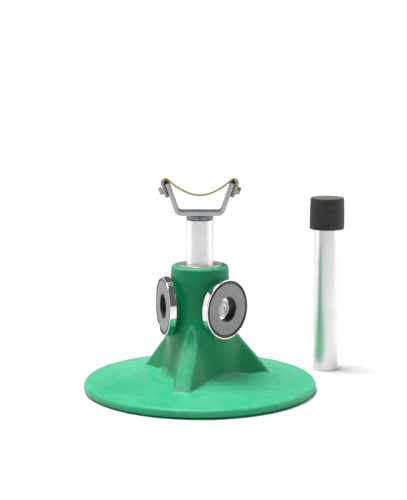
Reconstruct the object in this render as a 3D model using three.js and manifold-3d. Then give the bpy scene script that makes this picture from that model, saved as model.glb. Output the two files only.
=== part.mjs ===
// Farrier's hoof stand: a moulded round base with a bell-shaped neck, three tool magnets round the
// neck, a swivelling socket sleeve, a height-adjustable post carrying a steel yoke with a webbing
// sling, and the second, interchangeable straight post with a rubber cap.
//
// Millimetres, +Z up. Origin: centre of the base on the surface it stands on.
// The yoke's arms spread along X. Azimuths are measured from -Y (the front) towards +X.

import * as THREE from 'three';
import { mergeVertices } from 'three/addons/utils/BufferGeometryUtils.js';
import Module from 'manifold-3d';

const wasm = await Module();
wasm.setup();

// ---------------------------------------------------------------- driving dimensions
const GAP = 0.3;                       // air left between two pieces that touch

const BASE_R = 163.8;                  // radius of the round foot
const RIM_T = 13;                      // thickness of the foot at its rim
const NECK_TOP_Z = 177;                // top of the moulded neck
const NECK_TOP_R = 40.3;

const PLATE_R = 44, PLATE_T = 4;       // steel plate under the socket
const SOCKET_RO = 28.6, SOCKET_RI = 25.6, SOCKET_TOP = 170;
const SLEEVE_RO = 23, SLEEVE_RI = 19.45;
const FLANGE_R = 30.7, FLANGE_Z0 = 175, FLANGE_Z1 = 178.2;
const BUSH_RI = 23.3, BUSH_RO = 25.3;

const POST_R = 19.05, POST_RI = 16.05; // 38.1 mm tube, 3 mm wall
const POST_BOTTOM = 20.6, POST_TOP = 240;
const STEM_R = 13, STEM_ROOT = 9.8, STEM_Z0 = 20.3, STEM_Z1 = 146;
const NOTCH_Z = 34, NOTCH_PITCH = 25, NOTCH_COUNT = 5, NOTCH_H = 8.4;
const PEG_R = 3.5;

const BAR_T = 5, BAR_W = 38;           // yoke: flat bar
const YOKE_Z = 249.6;                  // centre line of the yoke's bottom
const YOKE_CORNER = 30.7;              // half width at the sharp corner of the centre line
const YOKE_BEND = 8;                   // centre-line bend radius
const ARM_LEAN = THREE.MathUtils.degToRad(19.04);
const ARM_END_Z = 291.5;

const STRAP_T = 3.4, STRAP_W = 38;     // webbing sling
const PAD_T = 1.8;                     // rubber pad between arm and strap
const BOLT_S = -8.3;                   // sling bolt, below the arm's end

const MAG_Z = 120, MAG_AZ = [46, 166, -74], MAG_NAMES = ['right', 'rear', 'left'];
const MAG_SEAT = 43.4;                 // flat seat on the neck, from the axis
const MAG_R = 41.6, MAG_T = 10;        // pot magnet
const FERRITE_RI = 17.2, FERRITE_RO = 35.8, CUP_RI = 39.6;
const SEAT_R = 36;                     // raised round seat behind each magnet
const RIB_AZ = [-14, 106, -134];

const SPARE_X = 187, SPARE_Y = 113;    // where the spare post stands
const SPARE_LEN = 250, CAP_R = 25.2, CAP_H = 46;

// ---------------------------------------------------------------- helpers
const rad = THREE.MathUtils.degToRad;
const mat = (color, roughness, metalness) => new THREE.MeshStandardMaterial({ color, roughness, metalness });
const GREEN = mat(0x2fae78, 0.5, 0);
const STEEL = mat(0x9a9ca0, 0.45, 0.9);
const ALU = mat(0xd9d9d8, 0.25, 1);
const ZINC = mat(0xb8bcc0, 0.35, 1);
const CHROME = mat(0xe4e4e6, 0.08, 1);
const NYLON = mat(0xe9e6da, 0.5, 0);
const BRASS = mat(0xb8923c, 0.35, 1);
const FERRITE = mat(0x87848a, 0.7, 0.1);
const RESIN = mat(0x1b1b1c, 0.5, 0);
const RUBBER = mat(0x23231f, 0.8, 0);
const WEBBING = mat(0xd8c74c, 0.9, 0);
const YOKE_GREY = mat(0x9b9ca1, 0.6, 0.6);

function solid(geometry) {
  const g = geometry.clone();
  g.deleteAttribute('normal');
  g.deleteAttribute('uv');
  const m = mergeVertices(g, 1e-4);
  const pos = m.attributes.position.array;
  const idx = m.index.array;
  const tris = [];
  for (let i = 0; i < idx.length; i += 3) {
    const [a, b, c] = [idx[i], idx[i + 1], idx[i + 2]];
    if (a !== b && b !== c && a !== c) tris.push(a, b, c);
  }
  return new wasm.Manifold(new wasm.Mesh({ numProp: 3, vertProperties: new Float32Array(pos), triVerts: new Uint32Array(tris) }));
}

function geometryOf(manifold) {
  const mesh = manifold.getMesh();
  const n = mesh.numProp;
  const count = mesh.vertProperties.length / n;
  const pos = new Float32Array(count * 3);
  for (let i = 0; i < count; i++) {
    pos[3 * i] = mesh.vertProperties[n * i];
    pos[3 * i + 1] = mesh.vertProperties[n * i + 1];
    pos[3 * i + 2] = mesh.vertProperties[n * i + 2];
  }
  const g = new THREE.BufferGeometry();
  g.setAttribute('position', new THREE.BufferAttribute(pos, 3));
  g.setIndex(new THREE.BufferAttribute(new Uint32Array(mesh.triVerts), 1));
  return g;
}

// A turned solid about Z from [r, z] points listed anticlockwise, seen with r to the right and z up.
function turned(points, segments = 36) {
  const closed = points[0][0] < 1e-9 && points[points.length - 1][0] < 1e-9;
  const pts = points.map(([r, z]) => new THREE.Vector2(r, z));
  if (!closed) pts.push(pts[0].clone());
  const g = new THREE.LatheGeometry(pts, segments);
  g.rotateX(Math.PI / 2);
  return g;
}

const rod = (r, z0, z1, segments = 36) => turned([[0, z0], [r, z0], [r, z1], [0, z1]], segments);
const ring = (ri, ro, z0, z1, segments = 36) => turned([[ri, z0], [ro, z0], [ro, z1], [ri, z1]], segments);

// The same, about the local X axis, with x running along the radius of the neck.
const alongX = (g) => g.rotateY(Math.PI / 2);

// A flat outline in X-Z swept through a width along Y.
function slab(outline, width) {
  const shape = new THREE.Shape(outline.map(([x, z]) => new THREE.Vector2(x, z)));
  const g = new THREE.ExtrudeGeometry(shape, { depth: width, bevelEnabled: false, steps: 1 });
  g.translate(0, 0, -width / 2);
  g.rotateX(Math.PI / 2);
  return g;
}

const hexOutline = (af) => [...Array(6)].map((_, i) => {
  const a = rad(30 + 60 * i), r = af / 2 / Math.cos(rad(30));
  return [r * Math.cos(a), r * Math.sin(a)];
});

function hexPrism(af, z0, z1) {
  const shape = new THREE.Shape(hexOutline(af).map(([x, y]) => new THREE.Vector2(x, y)));
  const g = new THREE.ExtrudeGeometry(shape, { depth: z1 - z0, bevelEnabled: false, steps: 1 });
  g.translate(0, 0, z0);
  return g;
}

const box = (x0, x1, y0, y1, z0, z1) => {
  const g = new THREE.BoxGeometry(x1 - x0, y1 - y0, z1 - z0);
  g.translate((x0 + x1) / 2, (y0 + y1) / 2, (z0 + z1) / 2);
  return g;
};

const model = new THREE.Group();
function piece(parent, name, geometry, material) {
  const mesh = new THREE.Mesh(geometry, material);
  mesh.name = name;
  parent.add(mesh);
  return mesh;
}

// Local frame of an azimuth: +X points outward from the neck.
const azimuth = (deg) => rad(deg - 90);

// ---------------------------------------------------------------- base moulding
const arc = (cx, cz, r, a0, a1, n) => [...Array(n + 1)].map((_, i) => {
  const a = rad(a0 + (a1 - a0) * i / n);
  return [cx + r * Math.cos(a), cz + r * Math.sin(a)];
});

// Radius of the neck in the middle of a panel, by height, and of a rib's crest, both from the foot upward.
const NECK = [[20.6, 57], [21.6, 53.4], [23.5, 50.2], [26.5, 47.8], [30, 46.5], [36, 45.8], [50, 45.4], [69, 45.1],
  [86, 44.9], [97, 44.7], [106, 44.3], [118, 43.3], [130, 42.4], [152, 41.3], [171.5, NECK_TOP_R]];
const CREST = [[20.6, 101.6], [30, 93.5], [45, 80.8], [60, 68], [70, 59.6], [77, 54.6], [84, 51.4], [91, 49.6], [95.5, 48.5],
  [98.5, 46.2], [101, 41]];
const HALF = [[20.6, 10.8], [45, 10.9], [66, 10.2], [77, 8.9], [86, 7.1], [93, 5.2], [99, 3]];
const PANEL_BULGE = 4.8;               // a panel's edge stands this much further out than its middle
const FLANK_DRAFT = 0.26;               // how far a rib's flanks spread, per mm in from its crest
const FOOT = [[57, 20.6], [66, 20.1], [80, 19.2], [104, 17.4], [130, 15.4], [BASE_R - RIM_T / 2, RIM_T]];
function lookup(table, x) {
  if (x <= table[0][0]) return table[0][1];
  for (let i = 1; i < table.length; i++) {
    if (x <= table[i][0]) {
      const [x0, y0] = table[i - 1], [x1, y1] = table[i];
      return y0 + (y1 - y0) * (x - x0) / (x1 - x0);
    }
  }
  return table[table.length - 1][1];
}
const smooth = (e0, e1, x) => { const t = Math.min(1, Math.max(0, (x - e0) / (e1 - e0))); return t * t * (3 - 2 * t); };
const softMin = (a, b, k) => { const h = Math.max(k - Math.abs(a - b), 0) / k; return Math.min(a, b) - h * h * k / 4; };

// Outer radius at a height and an angle from the middle of the nearest rib, with the rib's flanks
// blended into the neck. The neck is flattest in the middle between two ribs.
function outerRadius(z, delta) {
  const d = Math.abs(delta);
  const away = Math.min((rad(60) - d) / rad(44), 1.05);
  const neck = lookup(NECK, z) + PANEL_BULGE * away * away * smooth(108, 78, z);
  if (z > 104) return neck;
  const crest = lookup(CREST, z);
  const half = lookup(HALF, z);
  const edge = 7 + 2 * smooth(60, 90, z), blend = 11 - 8 * smooth(60, 94, z);
  const f = (r) => {
    const along = r * Math.cos(d), side = r * Math.sin(d);
    const flank = side - half - FLANK_DRAFT * (crest - along);
    const rib = -softMin(-flank, -(along - crest) * 0.78, edge);
    return softMin(r - neck, rib, blend);
  };
  let lo = 20, hi = 130;
  for (let i = 0; i < 30; i++) {
    const mid = (lo + hi) / 2;
    if (f(mid) < 0) lo = mid; else hi = mid;
  }
  return hi;
}

const SECTOR = [0, 3, 5.2, 6.8, 8.4, 10.5, 13, 16, 20, 27, 37, 48].flatMap((a) => (a ? [-a, a] : [0])).concat([60])
  .sort((p, q) => p - q);
const around = RIB_AZ.flatMap((az) => SECTOR.map((d) => [azimuth(az) + rad(d), rad(d)]));
around.sort((p, q) => ((p[0] % (2 * Math.PI)) + 2 * Math.PI) % (2 * Math.PI) - ((q[0] % (2 * Math.PI)) + 2 * Math.PI) % (2 * Math.PI));

const loops = [];                                              // from the underside's edge up to the lip
const circle = (r, z) => loops.push(around.map(() => [r, z]));
for (const [r, z] of arc(BASE_R - RIM_T / 2, RIM_T / 2, RIM_T / 2, -90, 90, 5)) circle(r, z);
circle(140, lookup(FOOT, 140));
const LOW = 20.6;
const low = around.map(([, d]) => outerRadius(LOW, d));
for (const t of [1, 0.6, 0.3, 0.1]) {
  loops.push(low.map((r0) => {
    const r = r0 + t * (122 - r0);
    return [r, lookup(FOOT, r) + (LOW - lookup(FOOT, r0)) * (1 - t) ** 9];
  }));
}
for (const z of [LOW, 22.2, 25, 30, 39, 49, 60, 70, 78, 85, 91, 95.5, 98.5, 101, 106, 116, 130, 152]) {
  loops.push(around.map(([, d]) => [outerRadius(z, d), z]));
}
for (const [r, z] of arc(NECK_TOP_R - 5.5, NECK_TOP_Z - 5.5, 5.5, 0, 90, 3)) circle(r, z);

let base;
{
  const n = around.length, pos = [], tris = [];
  loops.forEach((loop) => loop.forEach(([r, z], j) => pos.push(r * Math.cos(around[j][0]), r * Math.sin(around[j][0]), z)));
  for (let i = 0; i + 1 < loops.length; i++) {
    for (let j = 0; j < n; j++) {
      const a = i * n + j, b = i * n + (j + 1) % n;
      tris.push(a, b, b + n, a, b + n, a + n);
    }
  }
  const bottom = pos.length / 3, top = bottom + 1, last = (loops.length - 1) * n;
  pos.push(0, 0, 0, 0, 0, NECK_TOP_Z);
  for (let j = 0; j < n; j++) {
    tris.push(bottom, (j + 1) % n, j);
    tris.push(top, last + j, last + (j + 1) % n);
  }
  const g = new THREE.BufferGeometry();
  g.setAttribute('position', new THREE.BufferAttribute(new Float32Array(pos), 3));
  g.setIndex(tris);
  base = solid(g);
}

// Flat round seats for the magnets, and the bores.
for (const az of MAG_AZ) {
  const place = (g) => { g.translate(0, 0, MAG_Z); g.rotateZ(azimuth(az)); return g; };
  base = base.add(solid(place(alongX(turned([[0, 33], [27, 33], [31, 38.4], [SEAT_R - 0.8, MAG_SEAT - 1.6], [SEAT_R, MAG_SEAT], [0, MAG_SEAT]], 36)))));
  base = base.subtract(solid(place(alongX(rod(MAG_R + 0.6, MAG_SEAT, 75, 36)))));
  base = base.subtract(solid(place(alongX(rod(6.3, 31, 60, 16)))));
}
base = base.subtract(solid(rod(SOCKET_RO + GAP, -5, 200, 36)));
base = base.subtract(solid(rod(FLANGE_R + 0.4, SOCKET_TOP - 0.1, 200, 40)));
base = base.subtract(solid(rod(PLATE_R + 2 * GAP, -5, PLATE_T + GAP, 36)));
for (const az of [-90, 30, 150]) {
  const g = rod(2.9, -1, 26, 12);
  g.translate(36.5, 0, 0);
  g.rotateZ(azimuth(az));
  base = base.subtract(solid(g));
}
piece(model, 'base_moulding', geometryOf(base), GREEN);

// ---------------------------------------------------------------- socket in the base
let plate = solid(rod(PLATE_R, 0, PLATE_T, 36));
for (const az of [-90, 30, 150]) {
  const hole = turned([[0, -1], [6.6, -1], [6.6, 0.4], [2.9, 3.4], [2.9, 8], [0, 8]], 14);
  hole.translate(36.5, 0, 0);
  hole.rotateZ(azimuth(az));
  plate = plate.subtract(solid(hole));
}
piece(model, 'bottom_plate', geometryOf(plate), STEEL);
[-90, 30, 150].forEach((az, i) => {
  const g = turned([[0, 0.2], [5.4, 0.2], [5.4, 0.6], [2.5, 3.6], [2.5, 24], [0, 24]], 14);
  g.translate(36.5, 0, 0);
  g.rotateZ(azimuth(az));
  piece(model, `plate_screw_${i + 1}`, g, ZINC);
});
piece(model, 'socket_tube', ring(SOCKET_RI, SOCKET_RO, PLATE_T + GAP, SOCKET_TOP - GAP), STEEL);
piece(model, 'upper_bush', turned([
  [BUSH_RI, 142], [BUSH_RO, 142], [BUSH_RO, SOCKET_TOP], [FLANGE_R - 0.2, SOCKET_TOP],
  [FLANGE_R - 0.2, FLANGE_Z0 - GAP], [BUSH_RI, FLANGE_Z0 - GAP]]), NYLON);
piece(model, 'lower_bush', ring(BUSH_RI, BUSH_RO, 14, 40), NYLON);

// ---------------------------------------------------------------- swivelling sleeve and height stem
piece(model, 'swivel_sleeve', turned([
  [SLEEVE_RI, 10], [SLEEVE_RO, 10], [SLEEVE_RO, FLANGE_Z0], [FLANGE_R, FLANGE_Z0],
  [FLANGE_R, FLANGE_Z1 - 0.8], [FLANGE_R - 0.8, FLANGE_Z1], [SLEEVE_RI + 0.6, FLANGE_Z1],
  [SLEEVE_RI, FLANGE_Z1 - 0.6]], 40), ALU);
let plug = solid(rod(SLEEVE_RI - GAP, 10.3, 20, 36));
plug = plug.subtract(solid(rod(4.4, 0, 40, 20)));
piece(model, 'sleeve_plug', geometryOf(plug), STEEL);

const stemPoints = [[0, STEM_Z0], [STEM_R, STEM_Z0]];
for (let i = 0; i < NOTCH_COUNT; i++) {
  const zc = NOTCH_Z + NOTCH_PITCH * i;
  stemPoints.push([STEM_R, zc - NOTCH_H / 2], [STEM_ROOT, zc - NOTCH_H / 2],
    [STEM_ROOT, zc + NOTCH_H / 2], [STEM_R, zc + NOTCH_H / 2]);
}
stemPoints.push([STEM_R, STEM_Z1 - 3], [STEM_R - 3, STEM_Z1], [0, STEM_Z1]);
let stem = solid(turned(stemPoints, 20));
// upright slot that joins the ring notches, at the rear
stem = stem.subtract(solid(box(-4.2, 4.2, STEM_ROOT, 20, NOTCH_Z - NOTCH_H / 2, 200)));
stem = stem.subtract(solid(rod(4.3, 0, 44, 20)));
piece(model, 'height_stem', geometryOf(stem), STEEL);
piece(model, 'stem_screw', turned([[0, 5.2], [7.5, 5.2], [7.5, 10], [4, 10], [4, 42], [0, 42]], 20), ZINC);

// ---------------------------------------------------------------- post with the yoke
let post = solid(ring(POST_RI, POST_R, POST_BOTTOM, POST_TOP, 40));
{
  const hole = rod(PEG_R + GAP, 12, 25, 16);
  hole.rotateX(-Math.PI / 2);
  hole.translate(0, 0, NOTCH_Z);
  post = post.subtract(solid(hole));
}
piece(model, 'post_tube', geometryOf(post), ALU);
{
  const g = rod(PEG_R, STEM_ROOT + 0.8, POST_R - 0.35, 16);
  g.rotateX(-Math.PI / 2);
  g.translate(0, 0, NOTCH_Z);
  piece(model, 'height_peg', g, STEEL);
}
piece(model, 'weld_bead', turned([
  [0, POST_TOP + GAP], [17.2, POST_TOP + GAP], [18.4, POST_TOP + 2.4], [18.6, POST_TOP + 4.6],
  [17.4, YOKE_Z - BAR_T / 2 - GAP], [0, YOKE_Z - BAR_T / 2 - GAP]], 32), STEEL);

// Centre line of the yoke, from the left arm's end round to the right arm's end.
const up = [-Math.sin(ARM_LEAN), Math.cos(ARM_LEAN)];          // along the left arm, upward
const out = [-Math.cos(ARM_LEAN), -Math.sin(ARM_LEAN)];        // outward from the left arm
const endLen = (ARM_END_Z - YOKE_Z) / up[1];
const armEnd = [-YOKE_CORNER + up[0] * endLen, ARM_END_Z];
const armPoint = (n, s) => [armEnd[0] + out[0] * n + up[0] * s, armEnd[1] + out[1] * n + up[1] * s];
const turn = Math.PI / 2 - ARM_LEAN;
const tangent = YOKE_BEND * Math.tan(turn / 2);

function yokeSide(offset, steps) {                             // left half of an offset line
  const r = YOKE_BEND + offset;                                // offset outward
  const cx = -YOKE_CORNER + tangent, cz = YOKE_Z + YOKE_BEND;
  const pts = [[armEnd[0] + out[0] * offset, armEnd[1] + out[1] * offset]];
  const a0 = Math.atan2(out[1], out[0]) + (Math.atan2(out[1], out[0]) < 0 ? 2 * Math.PI : 0);
  const a1 = 1.5 * Math.PI;
  for (let i = 0; i <= steps; i++) {
    const a = a0 + (a1 - a0) * i / steps;
    pts.push([cx + r * Math.cos(a), cz + r * Math.sin(a)]);
  }
  return pts;
}
const mirrorX = (pts) => pts.map(([x, z]) => [-x, z]).reverse();
const outer = yokeSide(BAR_T / 2, 6), inner = yokeSide(-BAR_T / 2, 6);
// outline order: outer left -> outer right, then inner right -> inner left
const yokeShape = [...outer, ...mirrorX(outer), ...[...mirrorX(inner)].reverse(), ...[...inner].reverse()];
let yoke = solid(slab(yokeShape, BAR_W));
for (const side of [1, -1]) {
  const hole = rod(3.4, -20, 20, 16);
  hole.rotateY(-Math.PI / 2);                                  // along -X
  hole.rotateY(-ARM_LEAN);
  const [x, z] = armPoint(0, BOLT_S);
  hole.translate(x, 0, z);
  if (side < 0) hole.rotateZ(Math.PI);
  yoke = yoke.subtract(solid(hole));
}
piece(model, 'yoke', geometryOf(yoke), YOKE_GREY);

// Rubber pads over the arm ends, webbing sling, and its fasteners.
const HEAD_N0 = -BAR_T / 2, HEAD_N1 = BAR_T / 2 + GAP + PAD_T;
const HEAD_R = (HEAD_N1 - HEAD_N0) / 2, HEAD_NC = (HEAD_N0 + HEAD_N1) / 2, HEAD_SC = 2.05;
const PAD_END_S = -17.3, STRAP_END_S = -17.6;
{
  const o = [[HEAD_N0, GAP], [HEAD_N0, HEAD_SC]];
  for (let i = 1; i < 8; i++) {
    const a = Math.PI - Math.PI * i / 8;
    o.push([HEAD_NC + HEAD_R * Math.cos(a), HEAD_SC + HEAD_R * Math.sin(a)]);
  }
  o.push([HEAD_N1, HEAD_SC], [HEAD_N1, PAD_END_S], [BAR_T / 2 + GAP, PAD_END_S], [BAR_T / 2 + GAP, GAP]);
  const outline = o.map(([n, s]) => armPoint(n, s)).reverse();
  for (const [name, side] of [['left', 1], ['right', -1]]) {
    let pad = solid(slab(outline, BAR_W - 1));
    const hole = rod(3.4, -20, 20, 16);
    hole.rotateY(-Math.PI / 2);
    hole.rotateY(-ARM_LEAN);
    const [x, z] = armPoint(0, BOLT_S);
    hole.translate(x, 0, z);
    pad = pad.subtract(solid(hole));
    const g = geometryOf(pad);
    if (side < 0) g.rotateZ(Math.PI);
    piece(model, `arm_pad_${name}`, g, RUBBER);
  }
}

// Centre line of the strap: up the outside of the arm, over the pad and down into the sag.
const STRAP_N = HEAD_N1 + GAP + STRAP_T / 2;
const wrapR = HEAD_R + GAP + STRAP_T / 2;
const [wx, wz] = armPoint(HEAD_NC, HEAD_SC);
const strapLine = [];
for (let i = 0; i <= 4; i++) strapLine.push(armPoint(STRAP_N, STRAP_END_S + (HEAD_SC - STRAP_END_S) * i / 4));
const wrapFrom = Math.atan2(out[1], out[0]) + 2 * Math.PI, wrapTo = rad(43);
for (let i = 1; i <= 9; i++) {
  const a = (wrapFrom > Math.PI ? wrapFrom : wrapFrom) + (wrapTo - wrapFrom) * i / 9;
  strapLine.push([wx + wrapR * Math.cos(a), wz + wrapR * Math.sin(a)]);
}
// top surface of the sag, dropped by half the strap's thickness
const sag = new THREE.CatmullRomCurve3([
  [-41.5, 298.05], [-36.6, 293.6], [-32.0, 290.0], [-26.6, 286.6], [-20.4, 283.3], [-11.0, 279.4], [0, 277.5],
  [11.0, 279.4], [20.4, 283.3], [26.6, 286.6], [32.0, 290.0], [36.6, 293.6], [41.5, 298.05],
].map(([x, z]) => new THREE.Vector3(x, 0, z)), false, 'centripetal');
const sagSteps = 28;
for (let i = 1; i <= sagSteps / 2; i++) {
  const p = sag.getPoint(i / sagSteps), t = sag.getTangent(i / sagSteps);
  strapLine.push([p.x + t.z * STRAP_T / 2, p.z - t.x * STRAP_T / 2]);
}
strapLine[strapLine.length - 1][0] = 0;
const fullLine = [...strapLine, ...mirrorX(strapLine).slice(1)];
function offsetLine(pts, d) {
  return pts.map((p, i) => {
    const a = pts[Math.max(0, i - 1)], b = pts[Math.min(pts.length - 1, i + 1)];
    const l = Math.hypot(b[0] - a[0], b[1] - a[1]);
    return [p[0] - (b[1] - a[1]) / l * d, p[1] + (b[0] - a[0]) / l * d];
  });
}
let sling = solid(slab([...offsetLine(fullLine, -STRAP_T / 2), ...offsetLine(fullLine, STRAP_T / 2).reverse()], STRAP_W));
for (const side of [1, -1]) {
  const hole = rod(3.4, 2, 20, 16);
  hole.rotateY(-Math.PI / 2);
  hole.rotateY(-ARM_LEAN);
  const [x, z] = armPoint(0, BOLT_S);
  hole.translate(x, 0, z);
  if (side < 0) hole.rotateZ(Math.PI);
  sling = sling.subtract(solid(hole));
}
piece(model, 'sling', geometryOf(sling), WEBBING);

for (const [name, side] of [['left', 1], ['right', -1]]) {
  const arm = new THREE.Group();                               // turned so that local +Z runs outward
  const [x, z] = armPoint(0, BOLT_S);
  const inward = new THREE.Group();
  inward.position.set(x, 0, z);
  inward.rotation.y = -Math.PI / 2 - ARM_LEAN;
  arm.add(inward);
  if (side < 0) arm.rotation.z = Math.PI;
  model.add(arm);
  const face = STRAP_N + STRAP_T / 2;
  piece(inward, `sling_washer_${name}`, ring(3.4, 7, face + GAP, face + GAP + 1.4, 24), ZINC);
  const h0 = face + 2 * GAP + 1.4;
  let bolt = solid(hexPrism(10, h0, h0 + 4));
  bolt = bolt.add(solid(rod(3, -BAR_T / 2 + 0.3, h0 + 0.5, 16)));
  piece(inward, `sling_bolt_${name}`, geometryOf(bolt), ZINC);
}

// ---------------------------------------------------------------- tool magnets
MAG_AZ.forEach((az, i) => {
  const g = new THREE.Group();
  g.position.z = MAG_Z;
  g.rotation.z = azimuth(az);
  model.add(g);
  const n = MAG_NAMES[i];
  const b = MAG_SEAT + GAP, f = b + MAG_T;
  piece(g, `magnet_cup_${n}`, alongX(turned([
    [6.6, b], [MAG_R - 2, b], [MAG_R - 0.4, b + 0.8], [MAG_R, b + 2.2], [MAG_R, f - 0.4], [MAG_R - 0.5, f],
    [CUP_RI + 0.2, f], [CUP_RI, b + 1.5], [6.6, b + 1.5]], 36)), CHROME);
  piece(g, `magnet_ring_${n}`, alongX(ring(FERRITE_RI, FERRITE_RO, b + 1.5 + GAP, f - 0.3, 36)), FERRITE);
  piece(g, `magnet_resin_${n}`, alongX(ring(FERRITE_RO + GAP, CUP_RI - GAP, b + 1.5 + GAP, f - 1.1, 32)), RESIN);
  // cup washer and countersunk screw at the bottom of the magnet's hole
  const w = b + 1.5 + GAP;
  piece(g, `magnet_washer_${n}`, alongX(turned([[6.9, w], [11, w], [11, w + 0.7], [10.4, w + 1.1], [7.7, w + 1.1], [7.7, w + 0.8]], 24)), ZINC);
  piece(g, `magnet_screw_${n}`, alongX(turned([
    [0, 33], [4, 33], [4, b - 0.7], [7.3, b + 2.6], [7.3, b + 2.8], [4.5, b + 3.4], [0, b + 3.5]], 24)), ZINC);
  piece(g, `magnet_insert_${n}`, alongX(ring(4.3, 6, 31.3, MAG_SEAT - 0.9, 16)), BRASS);
});

// ---------------------------------------------------------------- straight post with rubber cap
const spare = new THREE.Group();
spare.position.set(SPARE_X, SPARE_Y, 0);
model.add(spare);
let spareTube = solid(ring(POST_RI, POST_R, 0, SPARE_LEN, 40));
{
  const hole = rod(PEG_R + GAP, 12, 25, 16);
  hole.rotateX(-Math.PI / 2);
  hole.translate(0, 0, NOTCH_Z - POST_BOTTOM);
  spareTube = spareTube.subtract(solid(hole));
  const g = rod(PEG_R, STEM_ROOT + 0.8, POST_R - 0.35, 16);
  g.rotateX(-Math.PI / 2);
  g.translate(0, 0, NOTCH_Z - POST_BOTTOM);
  piece(spare, 'spare_post_peg', g, STEEL);
}
piece(spare, 'spare_post_tube', geometryOf(spareTube), ALU);
const capTop = SPARE_LEN + GAP + 7;
piece(spare, 'spare_post_cap', turned([
  [POST_R + GAP, capTop - CAP_H], [CAP_R - 0.2, capTop - CAP_H], [CAP_R + 0.3, capTop - CAP_H + 3], [CAP_R, capTop - CAP_H + 22],
  [CAP_R - 0.7, capTop - 1.3], [CAP_R - 1.1, capTop - 0.4], [CAP_R - 2.2, capTop], [0, capTop], [0, SPARE_LEN + GAP],
  [POST_R + GAP, SPARE_LEN + GAP]], 32), RUBBER);

export default model;
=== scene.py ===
"""Looks for the hoof stand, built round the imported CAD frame. Metres, +Z up, origin on the floor under the neck."""

import math

import bmesh
import bpy
import numpy as np
from mathutils import Matrix, Vector, noise


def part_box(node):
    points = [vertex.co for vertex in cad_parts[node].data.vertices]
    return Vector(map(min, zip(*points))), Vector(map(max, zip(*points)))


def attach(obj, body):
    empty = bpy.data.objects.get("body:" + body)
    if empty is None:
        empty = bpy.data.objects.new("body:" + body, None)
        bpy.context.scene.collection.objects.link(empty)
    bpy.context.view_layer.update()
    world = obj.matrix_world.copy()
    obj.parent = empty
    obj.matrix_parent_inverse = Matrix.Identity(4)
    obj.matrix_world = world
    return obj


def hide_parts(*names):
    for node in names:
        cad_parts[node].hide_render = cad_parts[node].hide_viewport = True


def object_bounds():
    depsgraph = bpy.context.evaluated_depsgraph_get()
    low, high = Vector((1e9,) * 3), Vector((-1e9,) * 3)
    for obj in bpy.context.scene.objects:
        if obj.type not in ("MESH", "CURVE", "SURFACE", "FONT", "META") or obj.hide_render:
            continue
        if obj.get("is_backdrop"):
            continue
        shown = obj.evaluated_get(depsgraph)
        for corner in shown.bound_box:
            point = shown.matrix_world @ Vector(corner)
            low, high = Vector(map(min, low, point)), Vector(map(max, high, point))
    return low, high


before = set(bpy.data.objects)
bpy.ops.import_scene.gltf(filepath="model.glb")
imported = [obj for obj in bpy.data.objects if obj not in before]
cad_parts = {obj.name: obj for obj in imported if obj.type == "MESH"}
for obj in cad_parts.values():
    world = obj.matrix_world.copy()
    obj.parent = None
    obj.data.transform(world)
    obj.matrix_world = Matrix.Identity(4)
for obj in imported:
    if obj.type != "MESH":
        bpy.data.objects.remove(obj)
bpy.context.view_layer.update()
WORLD, SUN, PANEL_LEFT, PANEL_RIGHT = 0.14, 4.0, 3.2, 4.6
FLOOR_FLAT, FLOOR_ARC = 3.5, 8.5
MM = 0.001
scene = bpy.context.scene

# ------------------------------------------------------------------ camera
cam_data = bpy.data.cameras.new("camera")
cam_data.sensor_width = 24.0
cam_data.lens = 64.56
cam_data.clip_start, cam_data.clip_end = 0.05, 50
cam = bpy.data.objects.new("camera", cam_data)
scene.collection.objects.link(cam)
cam.location = (0.00512, -1.850, 0.489)
cam.rotation_euler = (math.radians(90 - 8.97), 0, 0)
scene.camera = cam
scene.view_settings.view_transform = "Standard"
scene.view_settings.look = "None"

# ------------------------------------------------------------------ dimensions, in mm, from the CAD part
BASE_R, RIM_T, NECK_TOP_Z, NECK_TOP_R = 163.8, 13.0, 177.0, 40.3
POST_R, POST_RI = 19.05, 16.05
MAG_Z, MAG_SEAT, MAG_R, MAG_T = 120.0, 43.4, 41.6, 10.0
FERRITE_RI, FERRITE_RO, CUP_RI, SEAT_R = 17.2, 35.8, 39.6, 36.0
MAG = {"right": 46.0, "rear": 166.0, "left": -74.0}
RIB_AZ = (-14.0, 106.0, -134.0)
GAP = 0.3
BAR_T, BAR_W, YOKE_Z, YOKE_CORNER, YOKE_BEND = 5.0, 38.0, 249.6, 30.7, 8.0
LEAN = math.radians(19.04)
ARM_END_Z = 291.5
STRAP_T, STRAP_W, PAD_T = 3.4, 38.0, 1.8
BOLT_S = -8.3
_slo, _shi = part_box("spare_post_tube")
SPARE = (float(_slo.x + _shi.x) / 2 / MM, float(_slo.y + _shi.y) / 2 / MM)
SPARE_LEN = float(_shi.z) / MM
CAP_TOP = float(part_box("spare_post_cap")[1].z) / MM
CAP_H = CAP_TOP - float(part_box("spare_post_cap")[0].z) / MM


# ------------------------------------------------------------------ mesh helpers
def new_object(name, verts, faces, sharp=None, smooth=True):
    """verts in mm."""
    me = bpy.data.meshes.new(name)
    me.from_pydata([(x * MM, y * MM, z * MM) for x, y, z in verts], [], faces)
    me.validate()
    bm = bmesh.new()
    bm.from_mesh(me)
    bmesh.ops.recalc_face_normals(bm, faces=bm.faces)
    bm.to_mesh(me)
    bm.free()
    ob = bpy.data.objects.new(name, me)
    scene.collection.objects.link(ob)
    if smooth:
        me.shade_smooth()
        me.set_sharp_from_angle(angle=math.radians(sharp or 38))
    return ob


def grid_solid(loops, close_u=True, cap=True, ring=False):
    """Faces that join equal loops of points. ring joins the last loop back to the first."""
    n, faces = len(loops[0]), []
    last = len(loops) if ring else len(loops) - 1
    for i in range(last):
        a0, b0 = i * n, ((i + 1) % len(loops)) * n
        for j in range(n):
            k = (j + 1) % n
            faces.append((a0 + j, a0 + k, b0 + k, b0 + j))
    if cap and not ring:
        faces.append(tuple(range(n)))
        faces.append(tuple((len(loops) - 1) * n + j for j in range(n)))
    return [p for loop in loops for p in loop], faces


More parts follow.
